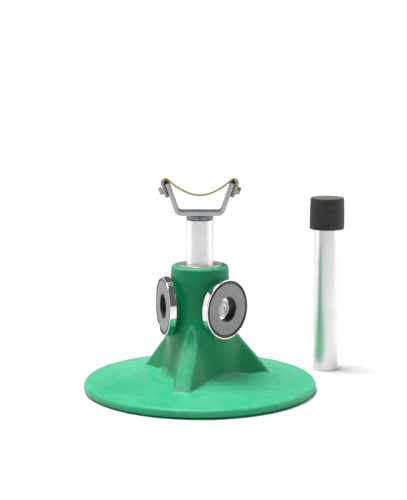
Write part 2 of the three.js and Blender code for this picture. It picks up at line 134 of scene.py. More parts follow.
def rounded(profile, radii, steps=4):
    """A closed or open [r, z] outline with its corners rounded. radii is a number or one per point; 0 leaves the corner."""
    out, n = [], len(profile)
    rs = [radii] * n if isinstance(radii, (int, float)) else list(radii)
    for i, (p, r) in enumerate(zip(profile, rs)):
        if r <= 0:
            out.append(tuple(p))
            continue
        p = np.array(p, float)
        a, b = np.array(profile[i - 1], float) - p, np.array(profile[(i + 1) % n], float) - p
        la, lb = np.linalg.norm(a), np.linalg.norm(b)
        d = min(r, la * 0.49, lb * 0.49)
        s, e = p + a / la * d, p + b / lb * d
        for t in np.linspace(0, 1, steps + 1):
            q = (1 - t) ** 2 * s + 2 * t * (1 - t) * p + t * t * e
            out.append((float(q[0]), float(q[1])))
    return out


def lathe(name, profile, segs=96, wobble=None, sharp=38):
    """profile: [r, z] from axis to axis, or a closed outline that stays off the axis."""
    on_axis = profile[0][0] < 1e-6 and profile[-1][0] < 1e-6
    ring = not on_axis
    pts = profile[1:-1] if on_axis else profile
    loops = []
    for r, z in pts:
        loop = []
        for j in range(segs):
            a = 2 * math.pi * j / segs
            rr, zz = (r, z) if wobble is None else wobble(r, z, a)
            loop.append((rr * math.cos(a), rr * math.sin(a), zz))
        loops.append(loop)
    verts, faces = grid_solid(loops, cap=False, ring=ring)
    if on_axis:
        b = len(verts)
        verts += [(0, 0, profile[0][1]), (0, 0, profile[-1][1])]
        m = (len(loops) - 1) * segs
        for j in range(segs):
            k = (j + 1) % segs
            faces.append((b, k, j))
            faces.append((b + 1, m + j, m + k))
    return new_object(name, verts, faces, sharp)


def place(ob, matrix):
    ob.data.transform(matrix)
    return ob


def outward(az, height=MAG_Z):
    """Local +Z becomes the direction of an azimuth from -Y towards +X, through the axis at that height."""
    return (Matrix.Translation((0, 0, height * MM)) @ Matrix.Rotation(math.radians(az - 90), 4, "Z")
            @ Matrix.Rotation(math.radians(90), 4, "Y"))


def boolean(ob, other, kind):
    mod = ob.modifiers.new("cut", "BOOLEAN")
    mod.operation, mod.object, mod.solver = kind, other, "EXACT"
    apply_modifiers(ob)
    bpy.data.objects.remove(other)
    return ob


def apply_modifiers(ob):
    dg = bpy.context.evaluated_depsgraph_get()
    dg.update()
    me = bpy.data.meshes.new_from_object(ob.evaluated_get(dg), preserve_all_data_layers=True, depsgraph=dg)
    old = ob.data
    ob.modifiers.clear()
    ob.data = me
    bpy.data.meshes.remove(old)
    return ob


def join(name, obs):
    """One object from several, by hand, so that no operator context is needed."""
    bm = bmesh.new()
    for o in obs:
        bm.from_mesh(o.data)
        bpy.data.objects.remove(o)
    me = bpy.data.meshes.new(name)
    bm.to_mesh(me)
    bm.free()
    ob = bpy.data.objects.new(name, me)
    scene.collection.objects.link(ob)
    me.shade_smooth()
    me.set_sharp_from_angle(angle=math.radians(38))
    return ob


def pchip(table):
    """A smooth curve through a table of (x, y) that never overshoots."""
    t = sorted(table)
    x, y = np.array([p[0] for p in t], float), np.array([p[1] for p in t], float)
    h, d = np.diff(x), np.diff(y) / np.diff(x)
    m = np.zeros(len(x))
    m[0], m[-1] = d[0], d[-1]
    for i in range(1, len(x) - 1):
        if d[i - 1] * d[i] > 0:
            w1, w2 = 2 * h[i] + h[i - 1], h[i] + 2 * h[i - 1]
            m[i] = (w1 + w2) / (w1 / d[i - 1] + w2 / d[i])

    def f(v):
        v = min(max(v, x[0]), x[-1])
        i = min(int(np.searchsorted(x, v, side="right")) - 1, len(h) - 1)
        s = (v - x[i]) / h[i]
        return float((1 + 2 * s) * (1 - s) ** 2 * y[i] + s * (1 - s) ** 2 * h[i] * m[i]
                     + s * s * (3 - 2 * s) * y[i + 1] + s * s * (s - 1) * h[i] * m[i + 1])
    return f


def smooth(e0, e1, v):
    t = min(1.0, max(0.0, (v - e0) / (e1 - e0)))
    return t * t * (3 - 2 * t)


def attribute(ob, name, function):
    """A colour attribute on the points, from their place in mm."""
    layer = ob.data.color_attributes.new(name, "FLOAT_COLOR", "POINT")
    for v, c in zip(ob.data.vertices, layer.data):
        k = function(v.co.x / MM, v.co.y / MM, v.co.z / MM)
        c.color = (k, k, k, 1) if isinstance(k, float) else (*k, 1)


def top_dust_and_light_layer(ob, steep, level, least=None):
    """Dust and scuffs lie on what faces up: a colour attribute from each point's own normal. On the base it also
    carries painted light: what faces up is painted lighter, as if lit from above.
    """
    layer = ob.data.color_attributes.new("top_dust_and_light", "FLOAT_COLOR", "POINT")
    for v, c in zip(ob.data.vertices, layer.data):
        k = smooth(steep, level, v.normal.z)
        if least is not None:
            k = max(k, least(v.co))
        c.color = (k, k, k, 1)


# ------------------------------------------------------------------ material helpers
class Nodes:
    def __init__(self, name):
        self.m = bpy.data.materials.new(name)
        self.m.use_nodes = True
        self.t = self.m.node_tree
        self.bsdf = self.t.nodes["Principled BSDF"]
        self.co = self.t.nodes.new("ShaderNodeTexCoord").outputs["Object"]

    def link(self, a, b):
        self.t.links.new(a, b)

    def node(self, kind, **inputs):
        n = self.t.nodes.new(kind)
        for k, v in inputs.items():
            key = k.replace("_", " ")
            if isinstance(v, bpy.types.NodeSocket):
                self.link(v, n.inputs[key])
            else:
                n.inputs[key].default_value = v
        return n

    def scaled(self, x, y=None, z=None):
        mp = self.node("ShaderNodeMapping", Vector=self.co)
        mp.inputs["Scale"].default_value = (x, y or x, z or x)
        return mp.outputs[0]

    def noise(self, scale, detail=4.0, rough=0.55, vector=None):
        return self.node("ShaderNodeTexNoise", Vector=vector or self.co, Scale=scale, Detail=detail, Roughness=rough).outputs["Fac"]

    def ramp(self, fac, stops):
        n = self.t.nodes.new("ShaderNodeValToRGB")
        self.link(fac, n.inputs[0])
        e = n.color_ramp.elements
        while len(e) < len(stops):
            e.new(0.5)
        for el, (p, c) in zip(e, stops):
            el.position = p
            el.color = (c, c, c, 1) if isinstance(c, (int, float)) else (*c, 1)
        return n.outputs[0]

    def mix(self, fac, a, b, kind="MIX"):
        n = self.t.nodes.new("ShaderNodeMix")
        n.data_type, n.blend_type = "RGBA", kind
        for i, v in ((0, fac), (6, a), (7, b)):
            if isinstance(v, bpy.types.NodeSocket):
                self.link(v, n.inputs[i])
            else:
                n.inputs[i].default_value = v if i == 0 else (*v, 1)
        return n.outputs[2]

    def maths(self, op, a, b=0.0):
        n = self.t.nodes.new("ShaderNodeMath")
        n.operation = op
        for i, v in ((0, a), (1, b)):
            if isinstance(v, bpy.types.NodeSocket):
                self.link(v, n.inputs[i])
            else:
                n.inputs[i].default_value = v
        return n.outputs[0]

    def bump(self, *layers):
        """layers: (height, distance in m, strength)."""
        normal = None
        for height, distance, strength in layers:
            b = self.node("ShaderNodeBump", Height=height, Distance=distance, Strength=strength)
            if normal is not None:
                self.link(normal, b.inputs["Normal"])
            normal = b.outputs[0]
        self.link(normal, self.bsdf.inputs["Normal"])

    def attribute(self, name):
        n = self.t.nodes.new("ShaderNodeVertexColor")
        n.layer_name = name
        return n.outputs[0]

    def set(self, **inputs):
        for k, v in inputs.items():
            key = k.replace("_", " ")
            s = self.bsdf.inputs[key]
            if isinstance(v, bpy.types.NodeSocket):
                self.link(v, s)
            else:
                s.default_value = (*v, 1) if s.type == "RGBA" else v
        return self.m


def srgb(r, g, b):
    return tuple((c / 255 / 12.92) if c <= 10 else ((c / 255 + 0.055) / 1.055) ** 2.4 for c in (r, g, b))


def green_plastic():
    n = Nodes("moulded_green")
    wear_and_highlight = n.attribute("wear_and_highlight")
    cloud, drift = n.noise(9, 5, 0.6), n.noise(26, 6, 0.7)
    speck, scuff = n.noise(900, 2, 0.5), n.noise(1.0, 5, 0.7, n.scaled(70, 240, 160))
    base = n.mix(n.ramp(cloud, [(0.3, 0.0), (0.75, 1.0)]), (0.0020, 0.215, 0.080), (0.0045, 0.275, 0.112))
    # What faces up is painted about twice as light as the base green: painted light from above, with whitish dust
    # patches.
    top_dust_and_light = n.mix(n.ramp(cloud, [(0.3, 0.0), (0.75, 1.0)]), (0.026, 0.430, 0.205), (0.052, 0.500, 0.260))
    top_dust_and_light = n.mix(n.ramp(drift, [(0.42, 0.0), (0.72, 0.5)]), top_dust_and_light, (0.140, 0.500, 0.310))
    lit_top_and_dust_mask = n.maths("MULTIPLY", n.attribute("top_dust_and_light"), n.ramp(drift, [(0.25, 0.82), (0.6, 1.0)]))
    base = n.mix(lit_top_and_dust_mask, base, top_dust_and_light)
    # Specks are painted lighter on what faces up as well: painted light.
    dusty_and_lit_top = n.mix(n.ramp(speck, [(0.35, 0.0), (0.7, 0.28)]), base, n.mix(lit_top_and_dust_mask, (0.008, 0.320, 0.140), (0.060, 0.520, 0.280)))
    dusty_and_lit_top = n.mix(n.maths("MULTIPLY", n.attribute("top_dust_and_light"), n.ramp(scuff, [(0.58, 0.0), (0.72, 0.6)])), dusty_and_lit_top, (0.20, 0.56, 0.37))
    # Whitish marks: wear on edges, and painted highlights on the ribs' crests and apexes, the rim's top edge and the
    # neck's lip.
    chalk_and_highlight = n.maths("MULTIPLY", wear_and_highlight, n.ramp(n.noise(260, 4, 0.7), [(0.35, 0.25), (0.65, 1.0)]))
    colour = n.mix(chalk_and_highlight, dusty_and_lit_top, (0.40, 0.74, 0.57))
    rough = n.ramp(n.noise(60, 4, 0.6), [(0.3, 0.27), (0.7, 0.42)])
    n.bump((n.noise(1500, 2, 0.5), 0.00012, 0.5), (n.noise(420, 3, 0.5), 0.0003, 0.35))
    return n.set(Base_Color=colour, Roughness=rough, Specular_IOR_Level=0.17, Subsurface_Weight=0.05,
                 Subsurface_Radius=(0.002, 0.004, 0.003), Subsurface_Scale=1.0)


def aluminium(name, lo=0.16, hi=0.30):
    n = Nodes(name)
    drawn = n.noise(1.0, 3, 0.6, n.scaled(2600, 2600, 9))
    smear = n.noise(22, 3, 0.5)
    colour = n.mix(n.ramp(smear, [(0.3, 0.0), (0.7, 1.0)]), (0.71, 0.71, 0.705), (0.80, 0.80, 0.795))
    rough = n.ramp(drawn, [(0.3, lo), (0.7, hi)])
    n.bump((drawn, 0.00002, 0.5), (n.noise(1400, 1, 0.5), 0.00003, 0.25))
    return n.set(Base_Color=colour, Metallic=1.0, Roughness=rough)


def turned_aluminium():
    n = Nodes("turned_aluminium")
    co = n.node("ShaderNodeSeparateXYZ", Vector=n.co)
    r = n.maths("SQRT", n.maths("ADD", n.maths("MULTIPLY", co.outputs[0], co.outputs[0]), n.maths("MULTIPLY", co.outputs[1], co.outputs[1])))
    rings = n.noise(1.0, 3, 0.6, n.node("ShaderNodeCombineXYZ", X=n.maths("MULTIPLY", r, 3800.0), Y=n.maths("MULTIPLY", co.outputs[2], 3800.0)).outputs[0])
    n.bump((rings, 0.00003, 0.5))
    return n.set(Base_Color=n.mix(n.noise(40, 3), (0.82, 0.82, 0.81), (0.93, 0.93, 0.92)), Metallic=1.0,
                 Roughness=n.ramp(rings, [(0.3, 0.22), (0.7, 0.36)]))


def metal(name, a, b, rough=(0.3, 0.5), scale=120, grain=0.00006, metallic=1.0, fine=1200):
    n = Nodes(name)
    big, small = n.noise(scale, 5, 0.65), n.noise(fine, 2, 0.6)
    n.bump((small, grain, 0.6), (big, grain * 3, 0.4))
    return n.set(Base_Color=n.mix(n.ramp(big, [(0.3, 0.0), (0.7, 1.0)]), a, b), Metallic=metallic,
                 Roughness=n.ramp(small, [(0.3, rough[0]), (0.7, rough[1])]))


def chrome():
    n = Nodes("chrome_plate")
    hair = n.noise(1.0, 2, 0.5, n.scaled(300, 300, 2400))
    return n.set(Base_Color=n.mix(n.ramp(n.noise(50, 3), [(0.4, 0.0), (0.7, 1.0)]), (0.74, 0.74, 0.74), (0.84, 0.83, 0.82)),
                 Metallic=1.0, Roughness=n.ramp(hair, [(0.35, 0.03), (0.8, 0.11)]))


def galvanised():
    n = Nodes("galvanised")
    cells = n.node("ShaderNodeTexVoronoi", Vector=n.co, Scale=420.0)
    grain = n.noise(900, 3, 0.7)
    mottled = n.noise(170, 5, 0.7)
    c = n.mix(n.ramp(mottled, [(0.32, 0.0), (0.68, 1.0)]), (0.44, 0.44, 0.46), (0.66, 0.66, 0.68))
    c = n.mix(n.ramp(cells.outputs["Distance"], [(0.0, 0.0), (0.7, 0.55)]), c, (0.50, 0.50, 0.52))
    n.bump((grain, 0.00022, 0.7), (mottled, 0.0005, 0.45))
    return n.set(Base_Color=c, Metallic=0.30, Roughness=n.ramp(grain, [(0.3, 0.45), (0.7, 0.68)]))


def weld():
    n = Nodes("weld")
    heat = n.attribute("heat")
    c = n.mix(n.ramp(n.noise(300, 4), [(0.3, 0.0), (0.7, 1.0)]), (0.12, 0.14, 0.16), (0.30, 0.32, 0.34))
    # Brown heat tint along the bead's lower edge; the bead is also lighter and browner at its sides and darker at front
    # and back.
    c = n.mix(heat, c, (0.50, 0.40, 0.32))
    n.bump((n.noise(1100, 3, 0.6), 0.0002, 0.6))
    return n.set(Base_Color=c, Metallic=0.75, Roughness=n.ramp(n.noise(600, 3), [(0.3, 0.34), (0.7, 0.6)]))


def ferrite():
    n = Nodes("ferrite")
    ground = n.noise(1.0, 3, 0.6, n.scaled(2200, 2200, 60))
    pits = n.ramp(n.noise(700, 4, 0.7), [(0.30, 0.0), (0.36, 1.0)])
    c = n.mix(n.ramp(n.noise(330, 5, 0.75), [(0.3, 0.0), (0.7, 1.0)]), (0.215, 0.203, 0.212), (0.325, 0.308, 0.320))
    c = n.mix(pits, (0.07, 0.07, 0.075), c)
    # The bore's inner wall painted near-black: painted shade inside the hole.
    c = n.mix(n.attribute("painted_bore_shade"), c, (0.010, 0.010, 0.011))
    n.bump((ground, 0.00005, 0.6), (pits, 0.00008, 0.5))
    return n.set(Base_Color=c, Metallic=0.1, Roughness=n.ramp(ground, [(0.3, 0.42), (0.7, 0.62)]), Specular_IOR_Level=0.6)


def dark(name, a, b, rough=(0.35, 0.6), fine=1300, grain=0.0001, scale=80, spec=0.4):
    n = Nodes(name)
    big, small = n.noise(scale, 4, 0.6), n.noise(fine, 2, 0.6)
    n.bump((small, grain, 0.6), (big, grain * 2, 0.3))
    return n.set(Base_Color=n.mix(n.ramp(big, [(0.3, 0.0), (0.7, 1.0)]), a, b), Specular_IOR_Level=spec,
                 Roughness=n.ramp(small, [(0.3, rough[0]), (0.7, rough[1])]))


def cap_rubber():
    n = Nodes("cap_rubber")
    big, small, dust = n.noise(55, 4, 0.6), n.noise(1300, 2, 0.6), n.noise(140, 5, 0.7)
    c = n.mix(n.ramp(big, [(0.3, 0.0), (0.7, 1.0)]), (0.014, 0.014, 0.012), (0.030, 0.029, 0.026))
    c = n.mix(n.maths("MULTIPLY", n.attribute("top_dust_and_light"), n.ramp(dust, [(0.3, 0.62), (0.65, 1.0)])), c, (0.165, 0.158, 0.138))
    n.bump((small, 0.00012, 0.6), (big, 0.00024, 0.3))
    return n.set(Base_Color=c, Specular_IOR_Level=0.4, Roughness=n.ramp(small, [(0.3, 0.50), (0.7, 0.72)]))


def fabric(name, a, b, c):
    """Yarn: fine fibres over a colour that the mesh's own weave carries in an attribute. Darker where the weave sits
    low, painted shade between the yarns; on the cords, darker in stripes along them.
    """
    n = Nodes(name)
    weave_shade_mask = n.attribute("weave_shade")
    fibre = n.noise(1.0, 3, 0.7, n.scaled(2600, 700, 2600))
    col = n.mix(n.ramp(fibre, [(0.3, 0.0), (0.7, 1.0)]), a, b)
    # Painted shade between the yarns: darker where the weave sits low; on the cords, darker stripes.
    col = n.mix(n.ramp(weave_shade_mask, [(0.0, 0.85), (0.6, 0.0)]), col, c)
    n.bump((fibre, 0.00018, 0.7))
    return n.set(Base_Color=col, Roughness=n.ramp(fibre, [(0.3, 0.72), (0.7, 0.95)]), Sheen_Weight=0.35, Sheen_Roughness=0.5,
                 Specular_IOR_Level=0.25)


M = {
    "green": green_plastic(),
    "tube": aluminium("post_aluminium", 0.33, 0.46),
    "satin_tube": aluminium("spare_aluminium", 0.34, 0.46),
    "turned": turned_aluminium(),
    "chrome": chrome(),
    "zinc": metal("zinc_plate", (0.34, 0.37, 0.40), (0.62, 0.64, 0.65), (0.18, 0.40), 420, 0.00005),
    "bolt_zinc": metal("bolt_zinc", (0.32, 0.34, 0.35), (0.52, 0.53, 0.54), (0.3, 0.52), 260, 0.00006),
    "steel": metal("machined_steel", (0.44, 0.44, 0.45), (0.60, 0.60, 0.61), (0.28, 0.46), 90, 0.00005),
    "galv": galvanised(),
    "weld": weld(),
    "ferrite": ferrite(),
    "resin": dark("potting_resin", (0.006, 0.006, 0.007), (0.016, 0.016, 0.018), (0.18, 0.42), spec=0.5),
    "rubber": dark("moulded_rubber", (0.012, 0.012, 0.011), (0.028, 0.028, 0.025), (0.55, 0.78), 1500, 0.00012, 70, 0.35),
    "cap_rubber": cap_rubber(),
    "nylon": dark("nylon", (0.70, 0.68, 0.60), (0.80, 0.78, 0.70), (0.35, 0.5), 900, 0.00004, 30),
    "brass": metal("brass_insert", (0.50, 0.35, 0.10), (0.66, 0.48, 0.16), (0.22, 0.4), 140, 0.00004),
    "webbing": fabric("webbing", (0.82, 0.82, 0.80), (0.92, 0.92, 0.91), (0.52, 0.51, 0.48)),
    "yellow": fabric("webbing_edge", (0.62, 0.50, 0.08), (0.80, 0.68, 0.16), (0.40, 0.28, 0.05)),
    "twist_dark": fabric("webbing_cord_dark", (0.10, 0.065, 0.04), (0.18, 0.12, 0.08), (0.05, 0.03, 0.02)),
    "twist_pale": fabric("webbing_cord_pale", (0.62, 0.58, 0.60), (0.78, 0.75, 0.76), (0.34, 0.30, 0.32)),
}


def dress(ob, material, body, slot, *nodes):
    ob.data.materials.clear()
    ob.data.materials.append(M[material])
    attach(ob, body)
    if nodes:
        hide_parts(*nodes)
    return ob


# ------------------------------------------------------------------ base moulding
neck_r = pchip([(20.6, 57), (21.6, 53.4), (23.5, 50.2), (26.5, 47.8), (30, 46.5), (36, 45.8), (50, 45.4), (69, 45.1), (86, 44.9),
                (97, 44.7), (106, 44.3), (118, 43.3), (130, 42.4), (152, 41.3), (171.5, NECK_TOP_R)])
crest_r = pchip([(20.6, 101.6), (30, 93.5), (45, 80.8), (60, 68), (70, 59.6), (77, 54.6), (84, 51.4), (91, 49.6), (95.5, 48.5),
                 (98.5, 46.2), (101, 41)])
half_w = pchip([(20.6, 10.8), (45, 10.9), (66, 10.2), (77, 8.9), (86, 7.1), (93, 5.2), (99, 3)])
foot_z = pchip([(57, 20.6), (66, 20.1), (80, 19.2), (104, 17.4), (130, 15.4), (BASE_R - RIM_T / 2, RIM_T)])
PANEL_BULGE, FLANK_DRAFT = 4.8, 0.26


def soft_min(a, b, k):
    h = max(k - abs(a - b), 0) / k
    return min(a, b) - h * h * k / 4


def outer_radius(z, d):
    d = abs(d)
    away = min((math.radians(60) - d) / math.radians(44), 1.05)
    neck = neck_r(z) + PANEL_BULGE * away * away * smooth(108, 78, z)
    if z > 104:
        return neck
    crest, half = crest_r(z), half_w(z)
    edge, blend = 7 + 2 * smooth(60, 90, z), 11 - 8 * smooth(60, 94, z)
    lo, hi = 20.0, 130.0
    for _ in range(24):
        r = (lo + hi) / 2
        along, side = r * math.cos(d), r * math.sin(d)
        flank = side - half - FLANK_DRAFT * (crest - along)
        rib = -soft_min(-flank, -(along - crest) * 0.78, edge)
        if soft_min(r - neck, rib, blend) < 0:
            lo = r
        else:
            hi = r
    return hi


def base_mesh():
    step = [d for d in np.arange(-60, 60, 0.75) if abs(d) <= 25.6] + [d for d in np.arange(-60, 60, 2.0) if abs(d) > 26.4]
    around = sorted(((az - 90 + d) % 360, math.radians(d)) for az in RIB_AZ for d in step)
    az = [math.radians(a) for a, _ in around]
    deltas = [d for _, d in around]
    cache, loops = {}, []

    def radius(z, d):
        key = (round(z, 3), round(abs(d), 5))
        if key not in cache:
            cache[key] = outer_radius(z, d)
        return cache[key]

    def circle(r, z):
        loops.append([(r, z)] * len(az))

    circle(44.6, 0)
    for r in (70, 110, 140):
        circle(r, 0)
    for a in np.linspace(-90, 90, 15):
        circle(BASE_R - 6.5 + 6.5 * math.cos(math.radians(a)), 6.5 + 6.5 * math.sin(math.radians(a)))
    for r in (154, 149, 143, 136, 129):
        circle(r, foot_z(r))
    low = [radius(20.6, d) for d in deltas]
    for t in (1, 0.86, 0.72, 0.58, 0.46, 0.35, 0.27, 0.20, 0.145, 0.10, 0.06, 0.03):
        loops.append([(r0 + t * (122 - r0), foot_z(r0 + t * (122 - r0)) + (20.6 - foot_z(r0)) * (1 - t) ** 9) for r0 in low])
    for z in [20.6, 21.0, 21.6, 22.4, 23.4, 24.6, 26, 27.6, 29.4] + list(np.arange(31.4, 80, 2.2)) + list(np.arange(80.5, 103, 1.25)) + [104.5, 107, 110, 114, 119, 125, 132, 140, 150, 160, 167]:
        loops.append([(radius(z, d), z) for d in deltas])
    for a in np.linspace(0, 90, 9):
        circle(NECK_TOP_R - 5.5 + 5.5 * math.cos(math.radians(a)), NECK_TOP_Z - 5.5 + 5.5 * math.sin(math.radians(a)))
    for r, z in ((32.2, 177), (31.6, 176.8), (31.15, 176.2), (31.1, 170), (29.1, 169.8), (28.95, 168), (28.95, 4.3), (44.6, 4.3)):
        circle(r, z)
    pts = []
    for loop in loops:
        ring = []
        for (r, z), a in zip(loop, az):
            x, y = r * math.cos(a), r * math.sin(a)
            if r > 44 and z > 2 and 20 < z < 100 or (z > 12 and 60 < r < 150):     # a gently uneven moulded skin
                w = noise.noise(Vector((x * 0.035, y * 0.035, z * 0.035))) * 0.25
                x, y, z = x + w * math.cos(a) * 0.6, y + w * math.sin(a) * 0.6, z + (w * 0.5 if z < 22 else 0)
            ring.append((x, y, z))
        pts.append(ring)
    verts, faces = grid_solid(pts, cap=False, ring=True)
    return new_object("moulded_base", verts, faces, 46)


base = base_mesh()
bosses, pockets, bores = [], [], []
for az in MAG.values():
    b = lathe("boss", [(0, 32.5), (26.4, 32.5), (27.4, 34.2), (28.8, 36.2), (30.8, 38.3), (33.4, 40.4), (35.2, 41.8), (SEAT_R - 0.1, 42.7), (SEAT_R - 0.35, MAG_SEAT), (0, MAG_SEAT)], 96)
    bosses.append(place(b, outward(az)))
    pockets.append(place(lathe("pocket", [(0, MAG_SEAT), (MAG_R + 0.6, MAG_SEAT), (MAG_R + 0.9, MAG_SEAT + 6), (MAG_R + 3, 75), (0, 75)], 96), outward(az)))
    bores.append(place(lathe("bore", [(0, 31.2), (6.25, 31.2), (6.25, 50), (0, 50)], 32), outward(az)))
boolean(base, join("bosses", bosses), "UNION")
boolean(base, join("pockets", pockets), "DIFFERENCE")
boolean(base, join("bores", bores), "DIFFERENCE")
screw_cuts = [place(lathe("c", [(0, -1), (2.9, -1), (2.9, 26), (0, 26)], 24),
                    Matrix.Rotation(math.radians(a - 90), 4, "Z") @ Matrix.Translation((36.5 * MM, 0, 0))) for a in (-90, 30, 150)]
boolean(base, join("screw_cuts", screw_cuts), "DIFFERENCE")
base.data.shade_smooth()
base.data.set_sharp_from_angle(angle=math.radians(42))


def wear_and_highlight(x, y, z):
    r, a = math.hypot(x, y), math.degrees(math.atan2(x, -y))
    d, rib = min((abs((a - q + 180) % 360 - 180), q) for q in RIB_AZ)
    k = 0.0
    if 40 < r < 120 and 14 < z < 101:
        side = r * math.sin(math.radians(d))
        crest = crest_r(z) if z >= 20.6 else 103
        on_crest = smooth(7, 1.5, abs(r * math.cos(math.radians(d)) - crest)) * smooth(13, 10, side)
        edge = smooth(3.2, 0.6, abs(side - half_w(max(z, 21)) + 1.5))                    # the crest's two edges
        # The crest painted lighter, most on its two edges and low down: whitish wear, and a painted highlight where the
        # crest faces up.
        k += on_crest * smooth(97, 90, z) * (0.08 + 0.24 * edge + 0.20 * smooth(34, 21, z))
        # The rib's apex: a painted highlight.
        k += 0.30 * on_crest * smooth(91, 95, z) * smooth(100, 97, z) * smooth(5, 2.5, side)
    foot = 59 + 3.0 * noise.noise(Vector((x * .03, y * .03, 0)))
    k += 0.26 * smooth(7, 1, abs(r - foot)) * smooth(25, 21, z) * (1 if z > 12 else 0)  # the fillet along the panels' foot: whitish wear and a painted highlight band
    # The rim's rounded top edge: a painted highlight line.
    k += 0.12 * smooth(4, 1, abs(r - 162)) * (1 if z > 7 else 0)
    # The neck lip's rounded top: a painted highlight line.
    k += 0.30 * smooth(3.2, 0.8, abs(r - 38.2)) * (1 if z > 173 else 0)
    k *= 0.70 + 0.6 * noise.noise(Vector((x * .12, y * .12, z * .12)))
    return float(max(0.0, min(1.0, k)))


attribute(base, "wear_and_highlight", wear_and_highlight)
top_dust_and_light_layer(base, 0.22, 0.92, lambda co: 0.42 if math.hypot(co.x, co.y) > 158 * MM and co.z > 3 * MM else 0.0)   # and the rim's outer side, painted part-way to the lighter top colour
dress(base, "green", "base", "moulded_green", "base_moulding")

# ------------------------------------------------------------------ magnets
for name, az in MAG.items():
    at = outward(az)
    b, f = MAG_SEAT + GAP, MAG_SEAT + GAP + MAG_T
    cup = lathe(f"magnet_cup_shell_{name}", rounded(
        [(6.7, b), (MAG_R, b), (MAG_R, f), (CUP_RI + 0.1, f), (CUP_RI, b + 1.5), (6.7, b + 1.5)],
        [0.3, 1.9, 0.7, 0.45, 0.5, 0.3], 6), 144)
    dress(place(cup, at), "chrome", "base", "chrome", f"magnet_cup_{name}")
    w0 = b + 1.5 + GAP
    ferr = lathe(f"magnet_ferrite_{name}", rounded(
        [(FERRITE_RI + 0.1, w0), (FERRITE_RO - 0.05, w0), (FERRITE_RO - 0.05, f - GAP), (FERRITE_RI + 0.1, f - GAP)], [0.3, 0.3, 0.5, 0.9], 4), 128)
    # Marks the bore's inner wall, which the ferrite material paints near-black as shade.
    attribute(ferr, "painted_bore_shade", lambda x, y, z: 1.0 if math.hypot(x, y) < FERRITE_RI + 0.16 else 0.0)
    dress(place(ferr, at), "ferrite", "base", "ferrite", f"magnet_ring_{name}")
    r0, r1 = FERRITE_RO + 0.05, CUP_RI - 0.1
    res = lathe(f"magnet_potting_{name}", rounded(
        [(r0, w0), (r1, w0), (r1, f - 0.8), (r1 - 1.2, f - 1.5), (r0 + 1.0, f - 1.5), (r0, f - 0.9)], [0, 0, 0.2, 0.5, 0.5, 0.2], 3), 112)
    dress(place(res, at), "resin", "base", "resin", f"magnet_resin_{name}")
    washer = lathe(f"magnet_cup_washer_{name}", rounded(
        [(6.95, w0), (11, w0), (11, w0 + 0.6), (10.2, w0 + 1.1), (8.2, w0 + 1.05), (7.7, w0 + 0.8)], [0.1, 0.2, 0.3, 0.4, 0.3, 0.1], 3), 72)
    dress(place(washer, at), "zinc", "base", "zinc_plate", f"magnet_washer_{name}")
    thread = [(0, 33.2), (3.2, 33.2)]
    z = 33.8
    while z < b - 1.8:
        thread += [(3.95, z), (3.45, z + 0.45)]
        z += 0.9
    head = lathe(f"magnet_csk_screw_{name}", thread + [(4, b - 1.1), (4, b - 0.7), (7.2, b + 2.5), (7.3, b + 2.65), (7.2, b + 2.8), (6.6, b + 2.98), (5.4, b + 3.2),
                 (3.6, b + 3.4), (1.8, b + 3.48), (0, b + 3.5)], 72)
    slots = []
    for turn in (20, 110):
        s = lathe("s", [(0, -4.4), (0.55, -4.4), (0.8, -3.2), (0.8, 3.2), (0.55, 4.4), (0, 4.4)], 4)
        s.data.transform(Matrix.Translation((0, 0, (b + 3.4) * MM)) @ Matrix.Rotation(math.radians(turn), 4, "Z")
                         @ Matrix.Diagonal((1, 1, 2.2, 1)) @ Matrix.Rotation(math.radians(90), 4, "X") @ Matrix.Rotation(math.radians(45), 4, "Z"))
        slots.append(s)
    for s in slots:
        boolean(head, s, "DIFFERENCE")
    head.data.shade_smooth()
    head.data.set_sharp_from_angle(angle=math.radians(35))
    dress(place(head, at), "zinc", "base", "zinc_plate", f"magnet_screw_{name}")

# ------------------------------------------------------------------ swivelling sleeve
sleeve = lathe("sleeve_with_flange", rounded(
    [(19.45, 10), (23, 10), (23, 175), (30.7, 175), (30.7, 178.2), (19.45, 178.2)], [0.3, 0.5, 0.2, 0.4, 0.7, 0.9], 4), 128)
dress(sleeve, "turned", "swivel", "aluminium", "swivel_sleeve")


# ------------------------------------------------------------------ posts
def tube(name, z0, z1, hole_z):
    ob = lathe(name, rounded([(POST_RI, z0), (POST_R, z0), (POST_R, z1), (POST_RI, z1)], [0.4, 0.6, 0.5, 0.4], 4), 128)
    cut = lathe("cut", [(0, 12), (3.8, 12), (3.8, 25), (0, 25)], 32)
    cut.data.transform(Matrix.Translation((0, 0, hole_z * MM)) @ Matrix.Rotation(math.radians(-90), 4, "X"))
    boolean(ob, cut, "DIFFERENCE")
    ob.data.shade_smooth()
    ob.data.set_sharp_from_angle(angle=math.radians(30))
    return ob


post = tube("post_polished_tube", 20.6, 240, 34)
dress(post, "tube", "cradle", "aluminium", "post_tube")
spare = place(tube("spare_polished_tube", 0, SPARE_LEN, 13.4), Matrix.Translation((SPARE[0] * MM, SPARE[1] * MM, 0)))
dress(spare, "satin_tube", "spare_post", "aluminium", "spare_post_tube")


def cap_wobble(r, z, a):
    if r > 21:
        r += 0.10 * noise.noise(Vector((math.cos(a) * 2, math.sin(a) * 2, z * 0.06)))
    return r, z


